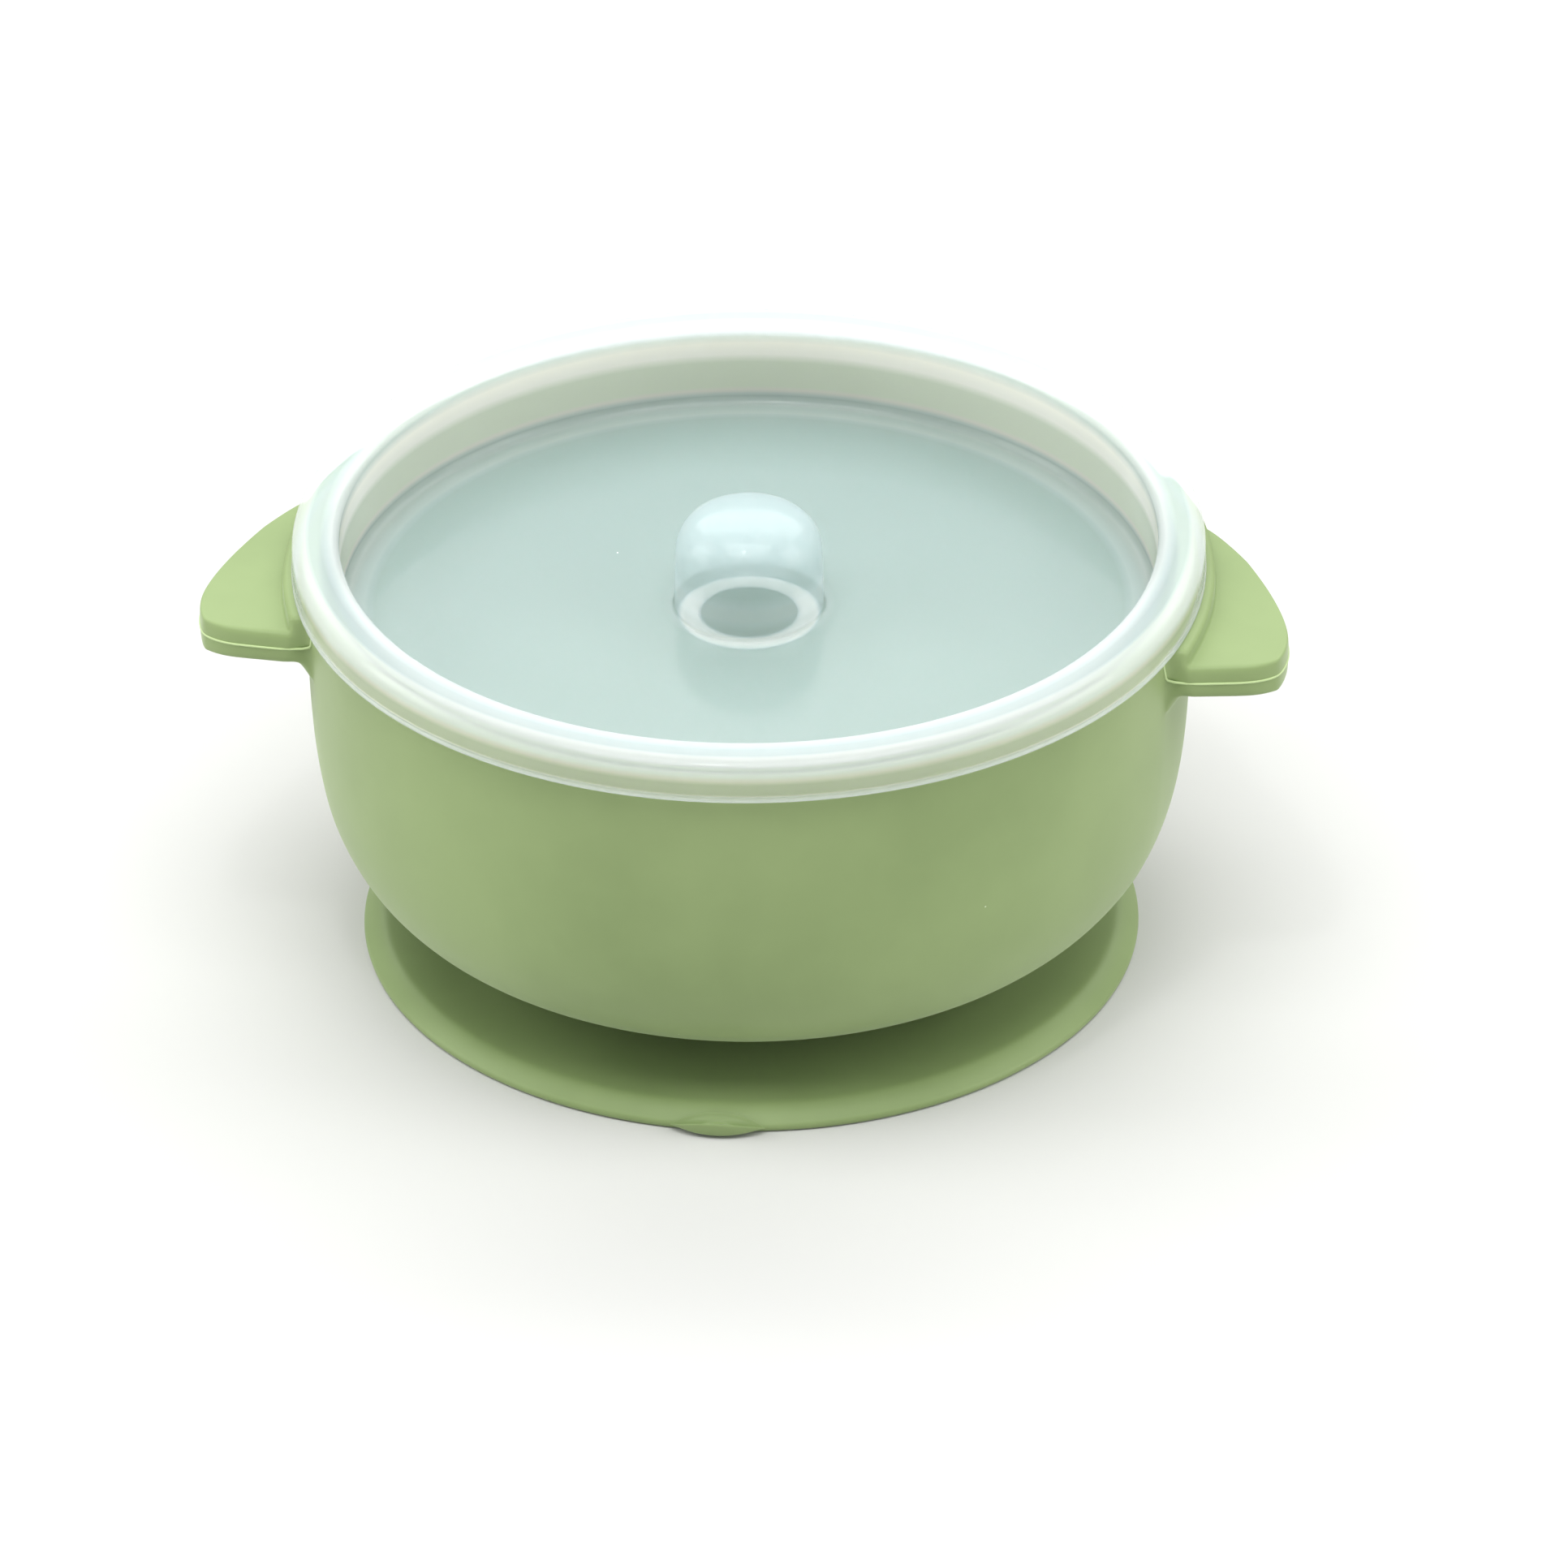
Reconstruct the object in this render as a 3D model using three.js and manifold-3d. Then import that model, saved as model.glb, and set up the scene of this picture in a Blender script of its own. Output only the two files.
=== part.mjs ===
// A silicone suction bowl for a baby's meals, with two ears, a suction base and a translucent lid.
// Millimetres, +Z up. The table is z = 0, the bowl's axis is the Z axis and the ears point along X.
import * as THREE from "three";
import { mergeVertices } from "three/addons/utils/BufferGeometryUtils.js";
import Module from "manifold-3d";

const wasm = await Module();
wasm.setup();

// Bowl
const rimRadius = 59.5; // outside of the rim
const rimHeight = 58.5; // top of the rim above the table
const bowlWall = 3.0;
const bowlFloor = 3.2; // thickness of the bottom
const bowlUnderside = 6.5; // height of the bottom's outside above the table
const bellyPower = 4.8; // how square the belly is: 2 is an ellipse
const wallDraft = 0.012; // share of the radius that the wall leans in by, top to bottom

// Ears, moulded on both sides of the bowl
const earLength = 10.5; // from the shoulder's face to the ear's tip
const earThickness = 4.8;
const earDrop = 7.0; // from the rim's top down to the ear's middle plane
const earFront = 19.3; // how far the root reaches to the front
const earBack = 21.5; // how far the root reaches to the back
const earFrontSweep = 1.6; // how far the front edge leans back on its way out
const earTipOffset = 9.4; // the tip lies this far in front of the middle
const earCorner = 5.0; // size of the rounded front corner
const earBackAngle = 54.5; // the back edge leaves the shoulder at this angle to X
const earBackFullness = 0.44; // share of the back edge that each end's direction holds for
const earEdge = 1.6; // rounding of the ear's edge
const shoulderProud = 1.1; // how far the shoulder stands out past the lid's skirt
const shoulderStep = 2.1; // from the ear's top up to the shoulder's top
const shoulderBack = 29.0; // how far the shoulder reaches to the back
const shoulderFade = 3.4; // height in which the shoulder's underside runs into the wall
const shoulderRound = 0.6;

// Suction base
const discRadius = 53.0;
const restWidth = 3.0; // flat ring that seals on the table
const discEdge = 1.1; // thickness at the very edge
const slopeWidth = 2.8; // sloping band inside the edge
const slopeFullness = 0.15; // how far the slope bulges, as a share of its width
const discTop = 2.9; // height of the top inside the slope
const shelfWidth = 5.6; // level top inside the slope
const hubTop = 4.4; // height of the top round the neck
const hollowDepth = 2.2; // depth of the suction hollow at its middle
const hubFlare = 1.5; // how far the hub's flat top reaches past the neck
const neckRadius = 21.0;

// Release tab, at the front of the suction base
const tabWidth = 12.0;
const tabReach = 2.3; // past the disc's edge
const tabInset = 1.7; // how far its pad lies over the disc's edge
const tabDrop = 0.7; // how far its top lies below the disc's top
const tabLift = 0.3; // height of its underside above the table
const tabEdge = 0.6; // rounding of its edge
const tabLipFullness = 0.7; // how square the lip is, seen from above
const tabPadFullness = 0.55; // the same for the pad

// Lid
const skirtThickness = 1.5;
const plugThickness = 1.5;
const lidCrown = 3.2; // solid thickness over the bowl's rim
const recessDepth = 12.0; // from the lid's top down to its panel
const panelThickness = 1.5;
const crownRound = 1.8; // rounding of the lid's outer top edge
const recessRound = 1.1; // rounding of the lid's inner top edge
const panelFillet = 1.1;
const plugCorner = 1.0; // rounding of the lid's lowest outer edge

// Knob, moulded on the lid and hollow from below
const knobRadius = 10.1;
const knobHeight = 14.4;
const knobShank = 6.4; // height of its straight side
const knobTaper = 0.35; // the straight side narrows by this much
const knobBore = 6.2;
const knobBoreDepth = 5.0; // above the panel's top

// Clearances
const lidClearance = 0.3; // between the lid and the bowl's rim, inside and outside
const seatGap = 0.3; // between pieces that rest on each other

const roundSteps = 72; // sides of a full turn

// Heights and radii that follow from the sizes above
const rimRound = bowlWall / 2;
const rimMiddleRadius = rimRadius - rimRound;
const wallTop = rimHeight - rimRound;
const lidTop = rimHeight + lidClearance + lidCrown;
const skirtOuter = rimRadius + lidClearance + skirtThickness;
const earMiddle = rimHeight - earDrop;
const shoulderRadius = skirtOuter + shoulderProud;
const shoulderTop = earMiddle + earThickness / 2 + shoulderStep;
const skirtBottom = shoulderTop + seatGap;
const tabTop = discTop - tabDrop;
const panelTop = lidTop - recessDepth;
const panelBottom = panelTop - panelThickness;

// Radius of the bowl's surface at a height, for a top radius and the height of its lowest point.
function bellyRadius(topRadius, lowest, height) {
  const down = THREE.MathUtils.clamp((wallTop - height) / (wallTop - lowest), 0, 1);
  const round = (1 - down ** bellyPower) ** (1 / bellyPower);
  return topRadius * (1 - wallDraft * down) * round;
}

const outsideRadius = (height) => bellyRadius(rimRadius, bowlUnderside, height);
const insideRadius = (height) =>
  bellyRadius(rimRadius - bowlWall, bowlUnderside + bowlFloor, height);

// Points of the bowl's surface from the axis up to the wall's top, closest together on the belly.
function bellyCurve(radiusAt, lowest, steps) {
  const points = [];
  for (let i = 0; i <= steps; i++) {
    const down = Math.cos(((i / steps) * Math.PI) / 2) ** (2 / bellyPower);
    const height = wallTop - (wallTop - lowest) * down;
    points.push([i === 0 ? 0 : radiusAt(height), height]);
  }
  return points;
}

// An arc as [radius, height] points, angles in degrees from the outward direction.
function arc(centreRadius, centreHeight, size, from, to, steps) {
  const points = [];
  for (let i = 0; i <= steps; i++) {
    const angle = THREE.MathUtils.degToRad(from + ((to - from) * i) / steps);
    points.push([
      centreRadius + size * Math.cos(angle),
      centreHeight + size * Math.sin(angle),
    ]);
  }
  return points;
}

// A dome from its rim up to the axis; a higher power makes it squarer.
function dome(radius, base, height, power, steps) {
  const points = [];
  for (let i = 0; i <= steps; i++) {
    const angle = ((i / steps) * Math.PI) / 2;
    const across = i === steps ? 0 : radius * Math.cos(angle) ** (2 / power);
    points.push([across, base + height * Math.sin(angle) ** (2 / power)]);
  }
  return points;
}

// A solid turned about Z from [radius, height] points that run anticlockwise.
function turned(points, steps = roundSteps) {
  const profile = points.map(([radius, height]) => new THREE.Vector2(radius, height));
  return new THREE.LatheGeometry(profile, steps).rotateX(Math.PI / 2);
}

// The same for a profile that closes on itself away from the axis.
const turnedRing = (points, steps) => turned([...points, points[0]], steps);

function toSolid(geometry) {
  const bare = geometry.clone();
  bare.deleteAttribute("normal");
  bare.deleteAttribute("uv");
  const merged = mergeVertices(bare, 1e-4);
  return new wasm.Manifold(
    new wasm.Mesh({
      numProp: 3,
      vertProperties: merged.attributes.position.array,
      triVerts: new Uint32Array(merged.index.array),
    }),
  );
}

function toGeometry(solid) {
  const mesh = solid.getMesh();
  const geometry = new THREE.BufferGeometry();
  geometry.setAttribute("position", new THREE.BufferAttribute(mesh.vertProperties, 3));
  geometry.setIndex(new THREE.BufferAttribute(mesh.triVerts, 1));
  geometry.computeVertexNormals();
  return geometry;
}

function bowlGeometry() {
  const outside = bellyCurve(outsideRadius, bowlUnderside, 18);
  const inside = bellyCurve(insideRadius, bowlUnderside + bowlFloor, 18).reverse();
  const rim = arc(rimMiddleRadius, wallTop, rimRound, 0, 180, 6).slice(1, -1);
  return turned([...outside, ...rim, ...inside]);
}

// The bowl's outside with a gap added, from the axis to above the rim, as a cutter.
function bowlCutter() {
  const skin = bellyCurve(outsideRadius, bowlUnderside, 24).slice(1);
  const grown = skin.map(([radius, height]) => [radius + seatGap, height - seatGap]);
  const top = rimHeight + 1;
  const outline = [[0, bowlUnderside - seatGap], ...grown, [rimRadius + seatGap, top], [0, top]];
  return toSolid(turned(outline));
}

// The ear's flat fin, seen from above, for the ear on the +X side.
function finGeometry() {
  const tip = shoulderRadius + earLength - earEdge;
  const front = -earFront + earEdge;
  const back = earBack - earEdge;
  const inner = rimRadius - bowlWall;
  const backRoot = Math.sqrt(shoulderRadius ** 2 - earBack ** 2);
  const frontCorner = front + earFrontSweep;
  const backBulge = earBackFullness * (earBack + earTipOffset);
  const backAngle = THREE.MathUtils.degToRad(earBackAngle);
  const outline = new THREE.Shape();
  outline.moveTo(inner, front);
  outline.lineTo(tip - earCorner, frontCorner);
  outline.quadraticCurveTo(tip, frontCorner, tip, frontCorner + earCorner);
  outline.lineTo(tip, -earTipOffset);
  outline.bezierCurveTo(
    tip,
    -earTipOffset + backBulge,
    backRoot + backBulge * Math.cos(backAngle),
    back - backBulge * Math.sin(backAngle),
    backRoot,
    back,
  );
  outline.lineTo(inner, back);
  outline.closePath();
  const flat = earThickness - 2 * earEdge;
  return new THREE.ExtrudeGeometry(outline, {
    depth: flat,
    bevelThickness: earEdge,
    bevelSize: earEdge,
    bevelSegments: 3,
    curveSegments: 10,
  }).translate(0, 0, earMiddle - flat / 2);
}

// The shoulder that carries the fin: a short stretch of a ring that hugs the wall.
function shoulderSolid() {
  const inner = rimRadius - bowlWall;
  const underside = earMiddle - earThickness / 2;
  const ring = turnedRing([
    [inner, underside - shoulderFade],
    [outsideRadius(underside - shoulderFade) + 2 * seatGap, underside - shoulderFade],
    ...arc(shoulderRadius - shoulderRound, shoulderTop - shoulderRound, shoulderRound, 0, 90, 3),
    [inner, shoulderTop],
  ]);
  const length = earFront + shoulderBack;
  const stretch = new THREE.BoxGeometry(rimRadius, length, rimHeight);
  stretch.translate(rimRadius, (shoulderBack - earFront) / 2, rimHeight / 2);
  return toSolid(ring).intersect(toSolid(stretch));
}

function earSolid() {
  return toSolid(finGeometry()).add(shoulderSolid()).subtract(bowlCutter());
}

// Top of the suction disc from the edge to the axis, raised by a gap where it is a cutter.
function discTopCurve(gap) {
  return [
    [discRadius + gap, discEdge],
    [discRadius - slopeWidth * (0.5 - slopeFullness), (discEdge + discTop) / 2 + gap],
    [discRadius - slopeWidth, discTop + gap],
    [discRadius - slopeWidth - shelfWidth, discTop + gap],
    [neckRadius + hubFlare, hubTop + gap],
    [0, hubTop + gap],
  ];
}

function discGeometry() {
  const seal = discRadius - restWidth;
  const underside = [[0, hollowDepth]];
  for (let i = 1; i <= 6; i++) {
    const share = i / 6;
    underside.push([seal * share, hollowDepth * (1 - share ** 2)]);
  }
  return turned([...underside, [discRadius, 0], ...discTopCurve(0)]);
}

function neckGeometry() {
  const bottom = hubTop + seatGap;
  const top = bowlUnderside - seatGap;
  return turned([
    [0, bottom],
    [neckRadius, bottom],
    [neckRadius, top],
    [0, top],
  ]);
}

// A lens-shaped lug: a pad over the disc's sloping edge, and a lip past it to lift by.
function tabSolid() {
  const half = tabWidth / 2 - tabEdge;
  const lip = discRadius + tabReach - tabEdge;
  const pad = discRadius - tabInset + tabEdge;
  const ends = discRadius - tabEdge;
  const outline = new THREE.Shape();
  outline.moveTo(-half, -ends);
  outline.quadraticCurveTo(-half * tabLipFullness, -lip, 0, -lip);
  outline.quadraticCurveTo(half * tabLipFullness, -lip, half, -ends);
  outline.quadraticCurveTo(half * tabPadFullness, -pad, 0, -pad);
  outline.quadraticCurveTo(-half * tabPadFullness, -pad, -half, -ends);
  const lug = new THREE.ExtrudeGeometry(outline, {
    depth: tabTop - tabLift - 2 * tabEdge,
    bevelThickness: tabEdge,
    bevelSize: tabEdge,
    bevelSegments: 2,
    curveSegments: 8,
  }).translate(0, 0, tabLift + tabEdge);
  const underDisc = [[0, -1], [discRadius + seatGap, -1], ...discTopCurve(seatGap)];
  return toSolid(lug).subtract(toSolid(turned(underDisc)));
}

function lidGeometry() {
  const plugOuter = (height) => insideRadius(height) - lidClearance;
  const plugInner = (height) => plugOuter(height) - plugThickness;
  const cornerHeight = panelBottom + plugCorner;
  const cornerRadius = plugOuter(cornerHeight) - plugCorner;
  const filletHeight = panelTop + panelFillet;
  const filletRadius = plugInner(filletHeight) - panelFillet;
  const channel = rimRound + lidClearance;
  return turnedRing([
    [knobBore, panelBottom],
    ...arc(cornerRadius, cornerHeight, plugCorner, -90, 0, 3),
    ...arc(rimMiddleRadius, wallTop, channel, 180, 0, 8),
    [outsideRadius(skirtBottom) + lidClearance, skirtBottom],
    [skirtOuter, skirtBottom],
    ...arc(skirtOuter - crownRound, lidTop - crownRound, crownRound, 0, 90, 4),
    ...arc(plugInner(wallTop) + recessRound, lidTop - recessRound, recessRound, 90, 180, 3),
    ...arc(filletRadius, filletHeight, panelFillet, 0, -90, 4),
    [knobBore, panelTop],
  ]);
}

function knobGeometry() {
  const seat = panelTop + seatGap;
  const shankTop = panelTop + knobShank;
  const boreStraight = knobBoreDepth - knobBore / 2;
  const outside = dome(knobRadius - knobTaper, shankTop, knobHeight - knobShank, 2.5, 8);
  const bore = dome(knobBore, panelTop + boreStraight, knobBoreDepth - boreStraight, 2, 5);
  return turned([...bore.reverse(), [knobBore, seat], [knobRadius, seat], ...outside], 48);
}

const greenSilicone = new THREE.MeshStandardMaterial({ color: "#9cb27c", roughness: 0.62, metalness: 0 });
const clearSilicone = new THREE.MeshStandardMaterial({
  color: "#dfe9ea",
  roughness: 0.28,
  metalness: 0,
  transparent: true,
  opacity: 0.5,
});

function piece(name, geometry, material) {
  const mesh = new THREE.Mesh(geometry, material.clone());
  mesh.name = name;
  return mesh;
}

const ear = earSolid();
const suctionBowl = new THREE.Group();
suctionBowl.add(
  piece("bowl", bowlGeometry(), greenSilicone),
  piece("ear_right", toGeometry(ear), greenSilicone),
  piece("ear_left", toGeometry(ear.mirror([1, 0, 0])), greenSilicone),
  piece("neck", neckGeometry(), greenSilicone),
  piece("suction_disc", discGeometry(), greenSilicone),
  piece("release_tab", toGeometry(tabSolid()), greenSilicone),
  piece("lid", lidGeometry(), clearSilicone),
  piece("lid_knob", knobGeometry(), clearSilicone),
);

export default suctionBowl;
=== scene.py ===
import math

import bmesh
import bpy
from mathutils import Matrix, Vector
from mathutils.bvhtree import BVHTree
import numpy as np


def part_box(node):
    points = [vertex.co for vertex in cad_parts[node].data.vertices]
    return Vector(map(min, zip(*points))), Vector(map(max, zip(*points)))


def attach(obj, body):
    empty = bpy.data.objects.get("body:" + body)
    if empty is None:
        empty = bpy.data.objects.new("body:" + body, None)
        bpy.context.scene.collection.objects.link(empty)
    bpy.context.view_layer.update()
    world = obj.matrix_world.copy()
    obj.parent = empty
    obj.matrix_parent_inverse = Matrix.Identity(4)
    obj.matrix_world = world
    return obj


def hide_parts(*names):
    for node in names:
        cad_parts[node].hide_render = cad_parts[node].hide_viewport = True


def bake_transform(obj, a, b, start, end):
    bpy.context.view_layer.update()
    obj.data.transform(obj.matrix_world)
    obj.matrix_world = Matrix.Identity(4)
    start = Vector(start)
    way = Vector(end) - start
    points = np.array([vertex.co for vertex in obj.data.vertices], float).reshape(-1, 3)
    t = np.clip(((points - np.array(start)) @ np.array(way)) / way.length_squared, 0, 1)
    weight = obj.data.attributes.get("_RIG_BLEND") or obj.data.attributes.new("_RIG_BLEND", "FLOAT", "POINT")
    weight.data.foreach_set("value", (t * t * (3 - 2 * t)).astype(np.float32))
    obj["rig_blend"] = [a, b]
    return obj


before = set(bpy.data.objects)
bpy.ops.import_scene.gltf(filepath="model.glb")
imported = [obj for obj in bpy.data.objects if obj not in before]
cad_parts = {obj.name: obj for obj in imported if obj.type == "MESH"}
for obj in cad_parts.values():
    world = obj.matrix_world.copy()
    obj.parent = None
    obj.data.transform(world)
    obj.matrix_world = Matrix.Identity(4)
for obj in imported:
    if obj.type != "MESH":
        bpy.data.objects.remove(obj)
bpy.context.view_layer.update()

scene = bpy.context.scene
print("frame loaded:", ", ".join(sorted(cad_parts)))

# Sizes below are in millimetres and angles in degrees; a mesh is turned to metres when it is finished.
metre = 0.001

studio = {
    "aim": (0.0, 0.0, 25.0),
    "cameraDistance": 1246.0,
    "cameraSide": 5.06,  # turned towards +X
    "cameraHeight": 31.7,  # looking down
    "cameraRoll": -0.42,
    "lens": 211.1,
    "shift": (0.0215, -0.0145),
    "worldColour": "#fbfcff",
    "worldStrength": 0.375,
    "backdropStrength": 1.0,
    "floorColour": "#cfcfcd",
    "floorSize": 6000.0,
    "floorRoughness": 0.8,
    "floorGloss": 0.2,
    "clip": (0.05, 20.0),  # metres
    "seeThrough": 24,  # clear walls a ray may pass
    # name, place, width, height, watts
    "lamps": (
        ("backBox", (0, 800, 900), 2000, 700, 13.5),
        ("topBox", (0, -320, 1020), 1000, 700, 9.2),
        ("leftBox", (-900, -100, 450), 500, 700, 4.4),
        ("rightBox", (900, -100, 450), 500, 700, 3.8),
        ("frontBar", (20, -900, 190), 420, 30, 0.25),
        ("frontBarLow", (20, -900, 110), 420, 30, 0.15),
        ("topSpot", (-60, -330, 900), 60, 60, 0.5),
    ),
}


def linearColour(code):
    shares = [int(code[i:i + 2], 16) / 255 for i in (1, 3, 5)]
    return tuple(s / 12.92 if s <= 0.04045 else ((s + 0.055) / 1.055) ** 2.4 for s in shares) + (1.0,)


def addNode(material, kind, values=None, links=None, **settings):
    tree = material.node_tree
    node = tree.nodes.new(kind)
    for key, value in settings.items():
        setattr(node, key, value)
    for socket, value in (values or {}).items():
        node.inputs[socket].default_value = value
    for socket, source in (links or {}).items():
        tree.links.new(source, node.inputs[socket])
    return node


def newMaterial(name):
    material = bpy.data.materials.new(name)
    material.use_nodes = True
    material.node_tree.nodes.clear()
    return material


def setRamp(node, *stops):
    ramp = node.color_ramp
    while len(ramp.elements) < len(stops):
        ramp.elements.new(1.0)
    for element, (place, colour) in zip(ramp.elements, stops):
        element.position = place
        element.color = colour
    return node.outputs["Color"]


# Dust that clings: a round speck in the few cells of the pattern whose random share passes a limit.
def addDust(material, place, look):
    cells = addNode(material, "ShaderNodeTexVoronoi", {"Scale": 1 / (look["dustSpacing"] * metre)},
                    {"Vector": place})
    near = look["dustSize"] / look["dustSpacing"]
    speck = addNode(material, "ShaderNodeMapRange", {"From Min": near, "From Max": near * look["dustCore"]},
                    {"Value": cells.outputs["Distance"]})
    chance = addNode(material, "ShaderNodeSeparateColor", links={"Color": cells.outputs["Color"]})
    few = addNode(material, "ShaderNodeMath", {1: look["dustLimit"]}, {0: chance.outputs["Red"]},
                  operation="GREATER_THAN")
    shown = addNode(material, "ShaderNodeMath", links={0: speck.outputs["Result"], 1: few.outputs["Value"]},
                    operation="MULTIPLY")
    return shown.outputs["Value"], chance.outputs["Green"]


def setStudio():
    target = Vector(studio["aim"]) * metre
    side, height = math.radians(studio["cameraSide"]), math.radians(studio["cameraHeight"])
    away = Vector((math.sin(side) * math.cos(height), -math.cos(side) * math.cos(height), math.sin(height)))
    camera = bpy.data.objects.new("camera", bpy.data.cameras.new("camera"))
    scene.collection.objects.link(camera)
    camera.location = target + away * studio["cameraDistance"] * metre
    roll = Matrix.Rotation(math.radians(studio["cameraRoll"]), 3, "Z")
    camera.rotation_euler = ((-away).to_track_quat("-Z", "Y").to_matrix() @ roll).to_euler()
    camera.data.lens = studio["lens"]
    camera.data.shift_x, camera.data.shift_y = studio["shift"]
    camera.data.clip_start, camera.data.clip_end = studio["clip"]
    scene.camera = camera
    for name, place, width, tall, watts in studio["lamps"]:
        lamp = bpy.data.lights.new(name, "AREA")
        lamp.shape = "RECTANGLE"
        lamp.size, lamp.size_y = width * metre, tall * metre
        lamp.energy = watts
        holder = bpy.data.objects.new(name, lamp)
        scene.collection.objects.link(holder)
        holder.location = Vector(place) * metre
        holder.rotation_euler = (target - holder.location).to_track_quat("-Z", "Y").to_euler()
        holder.visible_camera = False
    world = bpy.data.worlds.new("paleStudio")
    world.use_nodes = True
    nodes, links = world.node_tree.nodes, world.node_tree.links
    sky = nodes["Background"]
    sky.inputs["Color"].default_value = linearColour(studio["worldColour"])
    sight = nodes.new("ShaderNodeLightPath")
    strength = nodes.new("ShaderNodeMapRange")  # the light is dimmer than the backdrop looks
    strength.inputs["To Min"].default_value = studio["worldStrength"]
    strength.inputs["To Max"].default_value = studio["backdropStrength"]
    links.new(sight.outputs["Is Camera Ray"], strength.inputs["Value"])
    links.new(strength.outputs["Result"], sky.inputs["Strength"])
    scene.world = world
    scene.view_settings.view_transform = "Standard"
    scene.cycles.transparent_max_bounces = studio["seeThrough"]


setStudio()
print("camera and lights set")


# Sage-green platinum silicone, compression moulded in a blasted mould: a matte skin with a soft
# bloom where the surface turns away, fine grain, slight clouding and a little dust that clings to it.
greenSilicone = {
    "body": ("#839762", "#8da16b"),
    "flash": ("#b4c98f", "#bdd199"),  # squeezed thin at the mould's parting, so it looks paler; paler still as a painted highlight for the light the ridge catches
    "cloudSize": 30.0,
    "cloudSpan": (0.35, 0.65),
    "grainSize": 0.35,  # the real grain is about 0.1 mm, drawn coarser so that it shows
    "grainDepth": 0.012,
    "grainStrength": 0.25,
    "dustSpacing": 5.0,
    "dustSize": 0.16,
    "dustCore": 0.5,  # the share of a speck that is fully covered
    "dustLimit": 0.82,  # the share of the cells left without a speck
    "dustSorts": ((0.6, "#c9d8b4"), (0.62, "#5c6f45")),  # most specks are pale and the rest dark
    "roughness": (0.44, 0.52),
    "sheen": 0.3,
    "sheenRoughness": 0.35,
    "sheenTint": "#f4ffe6",
    "ior": 1.41,
}


def makeGreenSilicone(name, deep, pale):
    look = greenSilicone
    m = newMaterial(name)
    place = addNode(m, "ShaderNodeTexCoord").outputs["Object"]
    cloud = addNode(m, "ShaderNodeTexNoise", {"Scale": 1 / (look["cloudSize"] * metre), "Detail": 4.0},
                    {"Vector": place})
    clouded = addNode(m, "ShaderNodeValToRGB", links={"Fac": cloud.outputs["Fac"]})
    body = setRamp(clouded, *zip(look["cloudSpan"], (linearColour(deep), linearColour(pale))))
    dust, kind = addDust(m, place, look)
    sorts = addNode(m, "ShaderNodeValToRGB", links={"Fac": kind})
    dustColour = setRamp(sorts, *((share, linearColour(code)) for share, code in look["dustSorts"]))
    dusted = addNode(m, "ShaderNodeMix", links={"Factor": dust, "A": body, "B": dustColour},
                     data_type="RGBA")
    grain = addNode(m, "ShaderNodeTexNoise", {"Scale": 1 / (look["grainSize"] * metre), "Detail": 2.0},
                    {"Vector": place})
    bump = addNode(m, "ShaderNodeBump",
                   {"Strength": look["grainStrength"], "Distance": look["grainDepth"] * metre},
                   {"Height": grain.outputs["Fac"]})
    low, high = look["roughness"]
    rough = addNode(m, "ShaderNodeMapRange", {"To Min": low, "To Max": high}, {"Value": cloud.outputs["Fac"]})
    skin = addNode(m, "ShaderNodeBsdfPrincipled", {
        "IOR": look["ior"], "Sheen Weight": look["sheen"], "Sheen Roughness": look["sheenRoughness"],
        "Sheen Tint": linearColour(look["sheenTint"]),
    }, {"Base Color": dusted.outputs["Result"], "Roughness": rough.outputs["Result"],
        "Normal": bump.outputs["Normal"]})
    addNode(m, "ShaderNodeOutputMaterial", links={"Surface": skin.outputs["BSDF"]})
    return m


# Uncoloured food-grade silicone, moulded to a satin finish: milky, bluish where it is thin and
# nearly white where it is thick. The mesh carries how much each stretch covers and the tone of its haze,
# where green tones are painted light from the bowl behind.
clearSilicone = {
    "name": "clearSiliconeMoulded",
    # tone of the haze: thin and blue-grey, bluish white, creamy where thick, and green as painted light from
    # the green bowl behind it
    "tones": ((0.0, "#b6cbc9"), (0.33, "#d8e6ea"), (0.66, "#efece3"), (1.0, "#c9dabf")),
    "roughness": (0.1, 0.16),
    "gloss": 0.55,  # the clear share mirrors too, so the covered share mirrors more
    "ior": 1.41,
    "scatter": 4.0,
    "waveSize": 9.0,
    "waveDepth": 0.05,
    "waveStrength": 0.3,
    "dustSpacing": 6.0,
    "dustSize": 0.16,
    "dustCore": 0.4,
    "dustLimit": 0.8,
    "dustColour": "#ffffff",
}


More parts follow.
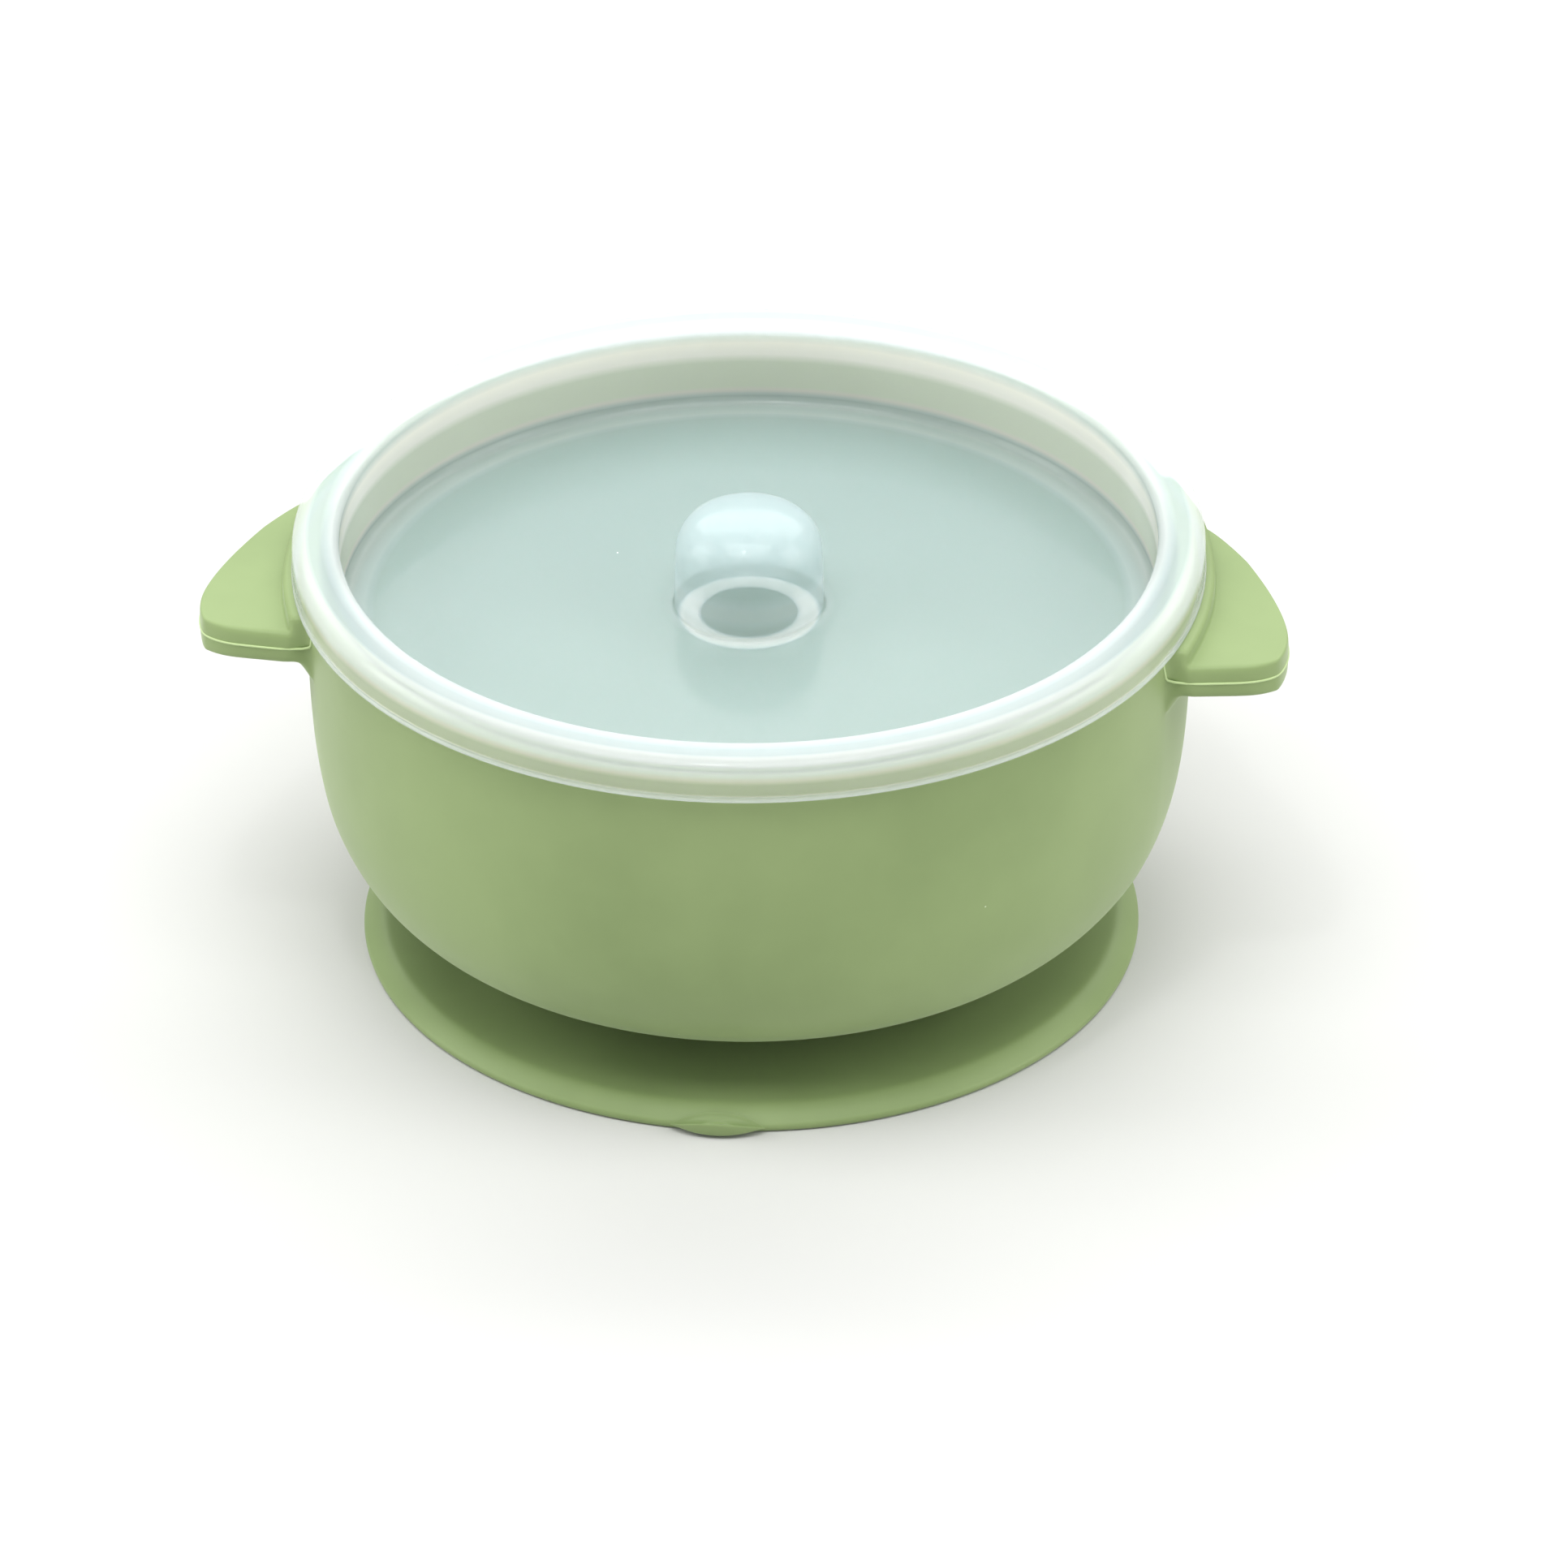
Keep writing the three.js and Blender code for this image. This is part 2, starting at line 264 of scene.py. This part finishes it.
def makeClearSilicone():
    look = clearSilicone
    m = newMaterial(look["name"])
    place = addNode(m, "ShaderNodeTexCoord").outputs["Object"]
    tone = addNode(m, "ShaderNodeAttribute", attribute_name="tone")
    toned = addNode(m, "ShaderNodeValToRGB", links={"Fac": tone.outputs["Fac"]})
    colour = setRamp(toned, *((share, linearColour(code)) for share, code in look["tones"]))
    cover = addNode(m, "ShaderNodeAttribute", attribute_name="cover")
    wave = addNode(m, "ShaderNodeTexNoise", {"Scale": 1 / (look["waveSize"] * metre), "Detail": 3.0},
                   {"Vector": place})
    bump = addNode(m, "ShaderNodeBump",
                   {"Strength": look["waveStrength"], "Distance": look["waveDepth"] * metre},
                   {"Height": wave.outputs["Fac"]})
    low, high = look["roughness"]
    rough = addNode(m, "ShaderNodeMapRange", {"To Min": low, "To Max": high}, {"Value": wave.outputs["Fac"]})
    dust = addDust(m, place, look)[0]
    dusted = addNode(m, "ShaderNodeMix", {"B": linearColour(look["dustColour"])},
                     {"Factor": dust, "A": colour}, data_type="RGBA")
    covered = addNode(m, "ShaderNodeMath", links={0: cover.outputs["Fac"], 1: dust}, operation="MAXIMUM")
    skin = addNode(m, "ShaderNodeBsdfPrincipled",
                   {"IOR": look["ior"], "Specular IOR Level": look["gloss"], "Subsurface Weight": 1.0,
                    "Subsurface Scale": look["scatter"] * metre, "Subsurface Radius": (1.0, 1.0, 1.0)},
                   {"Base Color": dusted.outputs["Result"], "Roughness": rough.outputs["Result"],
                    "Normal": bump.outputs["Normal"]})
    clearPart = addNode(m, "ShaderNodeBsdfTransparent")
    both = addNode(m, "ShaderNodeMixShader",
                   links={0: covered.outputs["Value"], 1: clearPart.outputs["BSDF"], 2: skin.outputs["BSDF"]})
    addNode(m, "ShaderNodeOutputMaterial", links={"Surface": both.outputs["Shader"]})
    return m


def makeFloorPaint():
    m = newMaterial("paleFloor")
    skin = addNode(m, "ShaderNodeBsdfPrincipled",
                   {"Base Color": linearColour(studio["floorColour"]), "Roughness": studio["floorRoughness"],
                    "Specular IOR Level": studio["floorGloss"]})
    addNode(m, "ShaderNodeOutputMaterial", links={"Surface": skin.outputs["BSDF"]})
    return m


# Cage points whose smoothed curve passes through the given points; both ends stay.
def cageOf(points):
    goal = [Vector(p) for p in points]
    cage = [p.copy() for p in goal]
    for turn in range(14):
        smooth = [(cage[i - 1] + cage[i] * 4 + cage[i + 1]) / 6 for i in range(1, len(cage) - 1)]
        for i, place in enumerate(smooth, 1):
            cage[i] += goal[i] - place
    return cage


# A profile of [radius, height] points from axis to axis, turned about Z as a cage for subdivision.
# Each vertex keeps the height it was asked for, so that rows can be found again.
def turnProfile(points, columns, marks=None):
    step = 2 * math.pi / columns
    widen = 3 / (2 + math.cos(step))
    marks = marks or {}
    bm = bmesh.new()
    for name in ("row", *marks):
        bm.verts.layers.float.new(name)
    row = bm.verts.layers.float["row"]  # looked up when all are there, because a new layer moves the others
    ring = []
    for (radius, height), cage in zip(points, cageOf(points)):
        vert = bm.verts.new((max(cage.x, 0) * widen if radius else 0.0, 0.0, cage.y))
        vert[row] = height
        ring.append(vert)
    for name, values in marks.items():
        layer = bm.verts.layers.float[name]
        for vert, value in zip(ring, values):
            vert[layer] = value
    for a, b in zip(ring, ring[1:]):
        bm.edges.new((a, b))
    bmesh.ops.spin(bm, geom=bm.verts[:] + bm.edges[:], cent=(0, 0, 0), axis=(0, 0, 1),
                   angle=2 * math.pi, steps=columns, use_merge=True)
    bmesh.ops.remove_doubles(bm, verts=bm.verts, dist=1e-3)
    bmesh.ops.recalc_face_normals(bm, faces=bm.faces)
    return bm


# Turns a cage in millimetres into a smooth object in metres; the subdivision stays live only if asked.
def finishPiece(bm, name, material, levels):
    bmesh.ops.scale(bm, vec=(metre, metre, metre), verts=bm.verts)
    mesh = bpy.data.meshes.new(name)
    bm.to_mesh(mesh)
    bm.free()
    mesh.shade_smooth()
    mesh.materials.append(material)
    piece = bpy.data.objects.new(name, mesh)
    scene.collection.objects.link(piece)
    if levels:
        smooth = piece.modifiers.new("smooth", "SUBSURF")
        smooth.levels = smooth.render_levels = levels
    return piece


def arc(centre, size, start, end, steps):
    turns = [math.radians(start + (end - start) * i / steps) for i in range(steps + 1)]
    return [(centre[0] + size * math.cos(t), centre[1] + size * math.sin(t)) for t in turns]


lowCorner, highCorner = (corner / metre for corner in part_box("bowl"))
bowl = {
    "rimRadius": highCorner.x,
    "rimTop": highCorner.z,
    "underside": lowCorner.z,
    "wall": 3.0,
    "floor": 3.2,
    "bellyPower": 4.8,
    "draft": 0.012,
    "columns": 72,
    # shoulder's foot, ear's underside, middle, top, shoulder's top
    "earRows": (45.7, 49.1, 51.5, 53.9, 56.0),
    "shoulderRadius": 62.4,
    "shoulderFoot": 0.25,
    "shoulderEnds": (-18.0, 27.7),  # seen from the bowl's axis, from +X towards the back
    # the share of its full width that the shoulder has under the ear, at its front end and behind it,
    # and behind the ear, at its back end and before it
    "widthUnder": (0.25, 0.75),
    "widthBehind": (0.55, 0.95),
    "earEnd": 18.2,
    "shoulderCrease": 0.8,
    "tightColumn": 1.5,  # the columns beside the ends of ear and shoulder lie this many degrees from them
    "earTip": 72.8,
    "earTipOffset": 11.0,
    "cornerRise": 1.6,  # the front edge climbs this much from the corner to the root
    "cornerCut": 6.2,
    "backFullness": 0.24,
    "backTurn": 40.0,
    "backShare": 0.34,  # of the outline behind the corner, this share is filled from the ear's back
    "earSteps": (0.04, 0.12, 0.24, 0.38, 0.54, 0.7, 0.85, 0.96, 1.0),
    "lineWidth": 0.17,
    "lineLead": 1.3,  # the parting line climbs in an S this many degrees wide
    "lineSteps": 12,
    "lineGap": 0.8,  # it leaves the ear's edge this far from the shoulder
}


def bellyRadius(top, lowest, height):
    wallTop = bowl["rimTop"] - bowl["wall"] / 2
    down = min(max((wallTop - height) / (wallTop - lowest), 0), 1)
    return top * (1 - bowl["draft"] * down) * (1 - down ** bowl["bellyPower"]) ** (1 / bowl["bellyPower"])


def bellyPoints(top, lowest, highest, steps):
    wallTop = bowl["rimTop"] - bowl["wall"] / 2
    points = [(0.0, lowest)]
    for i in range(1, steps):
        turn = math.radians(90 * i / steps)
        height = wallTop - (wallTop - lowest) * math.cos(turn) ** (2 / bowl["bellyPower"])
        if height < highest:
            points.append((bellyRadius(top, lowest, height), height))
    return points


# Spreads the columns so that some fall on the ends of the ears and shoulders.
def setColumns(bm):
    front, back = bowl["shoulderEnds"]
    end, tight = bowl["earEnd"], bowl["tightColumn"]
    knots = ((-180, -180), (-45, -45), (-25, front - tight * 2), (-20, front), (-15, front + tight),
             (15, end - tight * 1.4), (20, end), (25, back - tight), (30, back), (45, 45), (180, 180))
    for vert in bm.verts:
        radius = math.hypot(vert.co.x, vert.co.y)
        if radius < 1 or abs(vert.co.x) < 1e-3:
            continue
        side = math.copysign(1, vert.co.x)
        turn = math.degrees(math.atan2(vert.co.y, side * vert.co.x))
        for (a, newA), (b, newB) in zip(knots, knots[1:]):
            if a <= turn < b:
                turn = math.radians(newA + (newB - newA) * (turn - a) / (b - a))
                break
        vert.co.x, vert.co.y = side * radius * math.cos(turn), radius * math.sin(turn)


# The ear's outline seen from above, from its front root round the tip to its back root.
def earOutline():
    tip, offset, root = bowl["earTip"], bowl["earTipOffset"], bowl["shoulderRadius"]
    front, back = (math.radians(turn) for turn in (bowl["shoulderEnds"][0], bowl["earEnd"]))
    start = Vector((root * math.cos(front), root * math.sin(front)))
    end = Vector((root * math.cos(back), root * math.sin(back)))
    corner, cut = Vector((tip, start.y + bowl["cornerRise"])), bowl["cornerCut"]
    along = (start - corner).normalized()
    a, c = corner + along * cut, corner + Vector((0, cut))
    bulge = bowl["backFullness"] * (end.y + offset)
    reach = math.radians(bowl["backTurn"])
    p = (Vector((tip, -offset)), Vector((tip, -offset + bulge)),
         end + Vector((math.cos(reach), -math.sin(reach))) * bulge, end)
    few, many = 8, 24
    points = [start.lerp(a, i / few) for i in range(few)]
    points += [a.lerp(corner, t).lerp(corner.lerp(c, t), t) for t in (i / few for i in range(few + 1))]
    for i in range(1, many + 1):
        t = i / many
        points.append(p[0] * (1 - t) ** 3 + p[1] * 3 * t * (1 - t) ** 2
                      + p[2] * 3 * t * t * (1 - t) + p[3] * t ** 3)
    return points, few + few // 2  # where the middle of the front corner is


def pointAlong(points, share):
    lengths = [(b - a).length for a, b in zip(points, points[1:])]
    left = share * sum(lengths)
    for length, a, b in zip(lengths, points, points[1:]):
        if left <= length:
            return a.lerp(b, left / length)
        left -= length
    return points[-1].copy()


# Fills the ear's outline: across runs along the root from front to back, out from the root to the edge.
def earPlace(across, out):
    points, corner = earOutline()
    split = corner + int((len(points) - corner) * (1 - bowl["backShare"]))
    front, edge, back = points[:corner + 1], points[corner:split + 1], points[split:][::-1]
    ends = [math.radians(turn) for turn in (bowl["shoulderEnds"][0], bowl["earEnd"])]
    turn = ends[0] + (ends[1] - ends[0]) * across
    root = Vector((math.cos(turn), math.sin(turn))) * bowl["shoulderRadius"]
    f, k, o = pointAlong(front, out), pointAlong(back, out), pointAlong(edge, across)
    inner = front[0] * (1 - across) + back[0] * across
    outer = edge[0] * (1 - across) + edge[-1] * across
    corners = inner * (1 - out) + outer * out
    return root * (1 - out) + o * out + f * (1 - across) + k * across - corners


def turnOf(place, side):
    return math.degrees(math.atan2(place.y, side * place.x))


def facesBetween(faces, side, lowest, highest, front, back, innermost):
    found = []
    for face in faces:
        middle = face.calc_center_median()
        if lowest < middle.z < highest and front < turnOf(middle, side) < back:
            if math.hypot(middle.x, middle.y) > innermost:
                found.append(face)
    return found


# Draws faces out to new places; as a cap, the faces that it started from stay and close the piece.
def pullOut(bm, faces, placeOf, cap=False):
    pulled = bmesh.ops.extrude_face_region(bm, geom=faces)["geom"]
    for vert in pulled:
        if isinstance(vert, bmesh.types.BMVert):
            vert.co = placeOf(vert)
    if not cap:  # inside the piece the faces it started from would tilt the skin's normals
        bmesh.ops.delete(bm, geom=faces, context="FACES")
    return [face for face in pulled if isinstance(face, bmesh.types.BMFace)]


def growEar(bm, side):
    row = bm.verts.layers.float["row"]
    across = bm.verts.layers.float["across"]
    foot, under, middle, top, shoulderTop = bowl["earRows"]
    front, back = bowl["shoulderEnds"]
    earBack = bowl["earEnd"]

    def onShoulder(vert):
        turn = turnOf(vert.co, side)
        vert[across] = (turn - front) / (earBack - front)
        wall = math.hypot(vert.co.x, vert.co.y)
        proud = bowl["shoulderRadius"] - wall
        if vert[row] < (foot + under) / 2:
            proud = bowl["shoulderFoot"]
        elif vert[row] < (under + middle) / 2:
            proud *= bowl["widthUnder"][turn >= front + 1]
        if turn > earBack + 1:
            proud *= bowl["widthBehind"][turn <= back - 0.8]
        share = 1 + proud / wall
        return Vector((vert.co.x * share, vert.co.y * share, vert[row]))

    band = facesBetween(bm.faces, side, foot + 0.5, shoulderTop - 0.2, front - 0.5, back + 0.5,
                        bowl["rimRadius"] - 1.5)
    shoulder = pullOut(bm, band, onShoulder)
    crease = bm.edges.layers.float.get("crease_edge") or bm.edges.layers.float.new("crease_edge")
    for edge in {e for f in shoulder for e in f.edges}:
        if all(abs(v[row] - shoulderTop) < 0.1 for v in edge.verts):
            edge[crease] = bowl["shoulderCrease"]
    fin = facesBetween(shoulder, side, under, top, front - 0.5, earBack + 0.5, 0)
    for out in bowl["earSteps"]:
        def onEar(vert):
            plan = earPlace(vert[across], out)
            return Vector((side * plan.x, plan.y, vert[row]))
        fin = pullOut(bm, fin, onEar)


def makeBowl(material):
    foot = bowl["earRows"][0]
    wallTop = bowl["rimTop"] - bowl["wall"] / 2
    outside = bellyPoints(bowl["rimRadius"], bowl["underside"], foot - 3, 20)
    outside += [(bellyRadius(bowl["rimRadius"], bowl["underside"], z), z) for z in bowl["earRows"]]
    rim = arc((bowl["rimRadius"] - bowl["wall"] / 2, wallTop), bowl["wall"] / 2, 0, 180, 6)
    inside = bellyPoints(bowl["rimRadius"] - bowl["wall"], bowl["underside"] + bowl["floor"], wallTop - 3, 20)
    bm = turnProfile(outside + rim + inside[::-1], bowl["columns"])
    setColumns(bm)
    bm.verts.layers.float.new("across")
    for side in (1, -1):
        growEar(bm, side)
    bmesh.ops.recalc_face_normals(bm, faces=bm.faces)
    for name in ("row", "across"):
        bm.verts.layers.float.remove(bm.verts.layers.float[name])
    piece = finishPiece(bm, "bowlBody", material, 2)
    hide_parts("bowl", "ear_right", "ear_left")
    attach(piece, "bowl")
    return piece


base = {
    "radius": 53.0,
    "rest": 3.0,
    # how far in from the rim, and how high: from the seal round the rim and up the slope
    "rim": ((1.4, 0.03), (0.5, 0.07), (0.12, 0.35), (0.04, 0.75), (0.16, 1.12), (0.55, 1.5), (1.3, 2.12),
            (2.1, 2.62)),
    "slope": 2.8,
    "top": 2.9,
    "shelf": 5.6,
    "rise": ((36.0, 3.42), (29.0, 3.95)),
    "hubRadius": 22.5,
    "hollow": 2.2,
    "neck": 21.0,
    "neckTop": 6.8,  # sunk a little into the bowl's bottom
    "columns": 72,
    "bend": (2.95, 4.6),
}


# A thin bead laid on a finished surface: each place is a ray's start and direction, in millimetres.
def layBead(name, surface, rays, radius, material):
    tree = BVHTree.FromObject(surface, bpy.context.evaluated_depsgraph_get())
    path = []
    for start, direction in rays:
        hit = tree.ray_cast(Vector(start) * metre, Vector(direction).normalized())[0]
        if hit is not None:
            path.append(hit)
    for turn in range(2):
        path = [path[0]] + [(a + b * 2 + c) / 4 for a, b, c in zip(path, path[1:], path[2:])] + [path[-1]]
    line = bpy.data.curves.new(name, "CURVE")
    line.dimensions = "3D"
    line.bevel_depth = radius * metre
    line.bevel_resolution = 2
    line.use_fill_caps = True
    spline = line.splines.new("POLY")
    spline.points.add(len(path) - 1)
    for point, place in zip(spline.points, path):
        point.co = (*place, 1.0)
    holder = bpy.data.objects.new(name, line)
    scene.collection.objects.link(holder)
    mesh = bpy.data.meshes.new_from_object(holder.evaluated_get(bpy.context.evaluated_depsgraph_get()))
    bpy.data.objects.remove(holder)
    mesh.name = name
    mesh.shade_smooth()
    mesh.materials.clear()
    mesh.materials.append(material)
    piece = bpy.data.objects.new(name, mesh)
    scene.collection.objects.link(piece)
    return piece


# The mould's parting: round the ear at half its thickness, and up over both ends of the shoulder.
def makeParting(body, material, side, name):
    middle, top = bowl["earRows"][2], bowl["earRows"][4]
    front, back = bowl["shoulderEnds"]
    rays = []

    def fromAxis(turn, height):
        turn = math.radians(turn)
        out = Vector((side * math.cos(turn), math.sin(turn), 0))
        rays.append((out * 90 + Vector((0, 0, height)), -out))

    lead, steps = bowl["lineLead"], bowl["lineSteps"]
    climb = [(i / steps, (i / steps) * (i / steps) * (3 - 2 * (i / steps))) for i in range(steps + 1)]
    for share, ease in climb:
        fromAxis(front - lead + (lead - 0.6) * ease, top - (top - middle) * share)
    outline = earOutline()[0]
    places = [pointAlong(outline, i / 90) for i in range(91)]
    for before, place, after in zip(places, places[1:], places[2:]):
        if math.hypot(*place) < bowl["shoulderRadius"] + bowl["lineGap"]:
            continue
        along = (after - before).normalized()
        out = Vector((side * along.y, -along.x, 0))
        rays.append((Vector((side * place.x, place.y, middle)) + out * 6, -out))
    for i in range(16):
        fromAxis(bowl["earEnd"] + 0.5 + (back - 1 - bowl["earEnd"]) * i / 15, middle)
    for share, ease in climb[1:]:
        fromAxis(back - 0.5 + (lead + 0.5) * ease, middle + (top - middle) * share)
    piece = layBead(name, body, rays, bowl["lineWidth"], material)
    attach(piece, "bowl")


def makeBase(material):
    r, seal = base["radius"], base["radius"] - base["rest"]
    shelf = r - base["slope"]
    under = [(seal * i / 8, base["hollow"] * (1 - (i / 8) ** 2)) for i in range(8)]
    top, neck, neckTop = base["top"], base["neck"], base["neckTop"]
    points = under + [(seal - 0.6, 0.11), (seal + 0.2, 0.03)]
    points += [(r - inward, height) for inward, height in base["rim"]]
    points += [(shelf, top), (shelf - 0.9, 2.95), (shelf - 2.6, top), (shelf - base["shelf"], top),
               (shelf - base["shelf"] - 3, 3.05), *base["rise"], (base["hubRadius"] + 1.2, 4.32)]
    points += [(neck + 0.9, 4.46), (neck + 0.15, 4.9), (neck, 5.5), (neck + 0.3, 6.2),
               (neck + 1.2, neckTop - 0.15), (neck - 1.5, neckTop), (10.0, neckTop), (0.0, neckTop)]
    bm = turnProfile(points, base["columns"])
    bm.verts.layers.float.remove(bm.verts.layers.float["row"])
    piece = finishPiece(bm, "suctionBase", material, 2)
    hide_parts("suction_disc", "neck")
    start, end = base["bend"]
    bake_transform(piece, "base", "bowl", start=(0, 0, start * metre), end=(0, 0, end * metre))
    return piece


tab = {
    "halfWidth": 6.3,
    "middle": 53.0,  # its two points lie this far from the axis
    "endHeight": 1.0,
    "point": 0.8,  # below 1 its ends are blunter
    # from the dished top over the edge and down the lip: back bulge, front bulge, height, share of the width
    "rows": ((0.25, 0.9, 2.02, 0.68), (0.6, 1.45, 2.08, 0.87), (0.86, 1.76, 2.46, 0.95),
             (1.02, 1.9, 2.62, 0.985), (1.12, 1.98, 2.46, 1.0), (1.12, 2.0, 2.2, 1.0),
             (1.0, 1.92, 1.35, 0.99), (0.8, 1.75, 0.75, 0.95), (0.5, 1.5, 0.3, 0.82)),
}


# A lens seen from above, pointed at both ends and highest at its middle, drawn down row by row.
def makeTab(material):
    bm = bmesh.new()
    for name in ("share", "way"):
        bm.verts.layers.float.new(name)
    bmesh.ops.create_circle(bm, segments=40, radius=1.0, cap_ends=True)
    share, way = (bm.verts.layers.float[name] for name in ("share", "way"))
    for vert in bm.verts:
        vert[share], vert[way] = vert.co.x, math.copysign(1, vert.co.y)
    face = bm.faces[:]
    for place, (back, front, height, width) in enumerate(tab["rows"]):
        def onRow(vert):
            full = max(1 - vert[share] ** 2, 0) ** tab["point"]
            bulge = (back if vert[way] > 0 else -front) * full
            return Vector((vert[share] * width * tab["halfWidth"], bulge - tab["middle"],
                           tab["endHeight"] + (height - tab["endHeight"]) * full))
        if place:
            face = pullOut(bm, face, onRow, cap=place == 1)
        else:
            for vert in bm.verts:
                vert.co = onRow(vert)
    bmesh.ops.recalc_face_normals(bm, faces=bm.faces)
    for name in ("share", "way"):
        bm.verts.layers.float.remove(bm.verts.layers.float[name])
    piece = finishPiece(bm, "releaseTab", material, 2)
    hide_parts("release_tab")
    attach(piece, "tab")
    return piece


lid = {
    "top": 62.0,
    "skirt": 60.98,
    "bead": 61.12,
    "skirtBottom": 56.3,
    "crown": 1.8,
    "panelTop": 50.0,
    "panelBottom": 48.5,
    "plugInner": 54.65,
    "plugOuter": 56.1,
    "rimMiddle": 58.0,
    "wallTop": 57.0,
    "channel": 1.8,
    "fillet": 1.1,
    "inlet": 1.1,
    "knobTop": 64.37,
    "knobRadius": 9.95,
    "knobShank": 56.5,
    "knobPower": 2.75,
    "knobFoot": 10.08,
    "bore": 6.2,
    "boreTop": 55.0,
    "columns": 72,
    # how much of what is behind it each stretch covers, and the tone of its haze; the green tones (wallLow,
    # skirt, channel, plug) are painted light from the bowl behind
    "looks": {
        "knobTop": (0.56, 0.16), "knobSide": (0.54, 0.36), "knobLow": (0.52, 0.25), "foot": (0.44, 0.1),
        # panelEdge and fillet: lighter tones than the panel, a painted highlight along the panel's edge
        "panel": (0.44, 0.0), "panelEdge": (0.5, 0.12), "fillet": (0.48, 0.25), "wallLow": (0.8, 0.86),
        "wallHigh": (0.96, 0.66), "inlet": (0.56, 0.42), "crown": (0.42, 0.26), "edge": (0.48, 0.45),
        # skirt, channel and plug: their green tone is painted light from the bowl behind them
        "skirt": (0.24, 0.85), "bead": (0.42, 0.4), "channel": (0.22, 0.8), "plug": (0.3, 0.9),
        "solidRing": (0.9, 0.62), "bore": (0.1, 0.15),
    },
}


def makeLid(material):
    d = lid
    dome = [(0.0, d["knobTop"])]
    for i in range(1, 10):
        turn = math.radians(10 * i)
        dome.append((d["knobRadius"] * math.sin(turn) ** (2 / d["knobPower"]),
                     d["knobShank"]
                     + (d["knobTop"] - d["knobShank"]) * math.cos(turn) ** (2 / d["knobPower"])))
    foot, panel = d["knobFoot"], d["panelTop"]
    side = [(d["knobRadius"] + 0.04, 54.6), (d["knobRadius"] + 0.08, 53.0)]
    sideLow = [(foot, 51.6), (foot + 0.01, 50.7)]
    rootRing = [(foot + 0.05, 50.3), (foot + 0.16, 50.06), (foot + 0.4, panel)]
    flat = [(radius, panel) for radius in (foot + 1.5, foot + 3, 18.0, 28.0, 38.0, 46.0, 50.2)]
    # A lighter ring at the panel's edge, painted as a highlight in place of a ridge
    edgeRing = [(51.6, panel), (d["plugInner"] - d["fillet"] - 0.5, panel)]
    fillet = arc((d["plugInner"] - d["fillet"], panel + d["fillet"]), d["fillet"], -75, 0, 4)
    wallLow = [(d["plugInner"], 52.6), (d["plugInner"], 54.6), (d["plugInner"] + 0.01, 56.4)]
    wallHigh = [(d["plugInner"] + 0.02, 57.6), (d["plugInner"] + 0.03, 59.4)]
    inlet = arc((d["plugInner"] + d["inlet"], d["top"] - d["inlet"]), d["inlet"], 180, 90, 4)
    crown = [(57.2, d["top"]), (58.6, d["top"])]
    edge = arc((d["skirt"] - d["crown"], d["top"] - d["crown"]), d["crown"], 90, 0, 5)
    low = d["skirtBottom"]
    skirt = [(d["skirt"], 58.9), (d["skirt"], 57.9), (d["skirt"], low + 1.15)]
    bead = [(d["bead"], low + 0.95), (d["skirt"], low + 0.75), (d["skirt"], low + 0.55),
            (d["bead"], low + 0.35), (d["bead"], low + 0.15), (d["skirt"] - 0.1, low),
            (d["skirt"] - 0.6, low)]
    channel = [(60.0, low), (59.82, low + 0.2)] + arc((d["rimMiddle"], d["wallTop"]), d["channel"], 0, 180, 8)
    plug = [(d["plugOuter"] + 0.06, 54.5), (d["plugOuter"], 51.0)]
    plug += arc((d["plugOuter"] - 1.0, d["panelBottom"] + 1.0), 1.0, 0, -90, 4)
    under = [(radius, d["panelBottom"]) for radius in (50.0, 40.0, 28.0, 18.0, 11.8, 9.7)]
    solidRing = [(9.1, d["panelBottom"]), (d["bore"] + 0.8, d["panelBottom"])]
    bore = [(d["bore"] + 0.2, d["panelBottom"] + 0.12), (d["bore"], 49.1), (d["bore"], 50.6)]
    straight = d["boreTop"] - d["bore"] / 2
    for i in range(5):
        turn = math.radians(18 * i)
        bore.append((d["bore"] * math.cos(turn), straight + (d["boreTop"] - straight) * math.sin(turn)))
    bore.append((0.0, d["boreTop"]))
    stretches = ((dome, "knobTop"), (side, "knobSide"), (sideLow, "knobLow"), (rootRing, "foot"),
                 (flat, "panel"), (edgeRing, "panelEdge"), (fillet, "fillet"), (wallLow, "wallLow"),
                 (wallHigh, "wallHigh"), (inlet, "inlet"), (crown, "crown"), (edge, "edge"), (skirt, "skirt"),
                 (bead, "bead"), (channel, "channel"), (plug, "plug"), (under, "panel"),
                 (solidRing, "solidRing"), (bore, "bore"))
    points = [point for stretch, name in stretches for point in stretch]
    marks = {mark: [d["looks"][name][place] for stretch, name in stretches for point in stretch]
             for place, mark in enumerate(("cover", "tone"))}
    bm = turnProfile(points, d["columns"], marks)
    bm.verts.layers.float.remove(bm.verts.layers.float["row"])
    piece = finishPiece(bm, "lidMoulding", material, 1)
    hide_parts("lid", "lid_knob")
    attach(piece, "lid")
    return piece


def makeFloor():
    bm = bmesh.new()
    bmesh.ops.create_grid(bm, x_segments=1, y_segments=1, size=studio["floorSize"] / 2)
    floor = finishPiece(bm, "paleFloor", makeFloorPaint(), 0)


green = makeGreenSilicone("sageSiliconeMoulded", *greenSilicone["body"])
# A paler copy of the green for the parting bead: partly its thin flash, partly a painted highlight
greenFlashWithHighlight = makeGreenSilicone("sageSiliconeFlashPaintedHighlight", *greenSilicone["flash"])
clear = makeClearSilicone()
makeFloor()
body = makeBowl(green)
makeParting(body, greenFlashWithHighlight, 1, "rightParting")
makeParting(body, greenFlashWithHighlight, -1, "leftParting")
print("bowl with its ears made")
makeBase(green)
makeTab(green)
print("suction base and tab made")
makeLid(clear)
print("lid made")
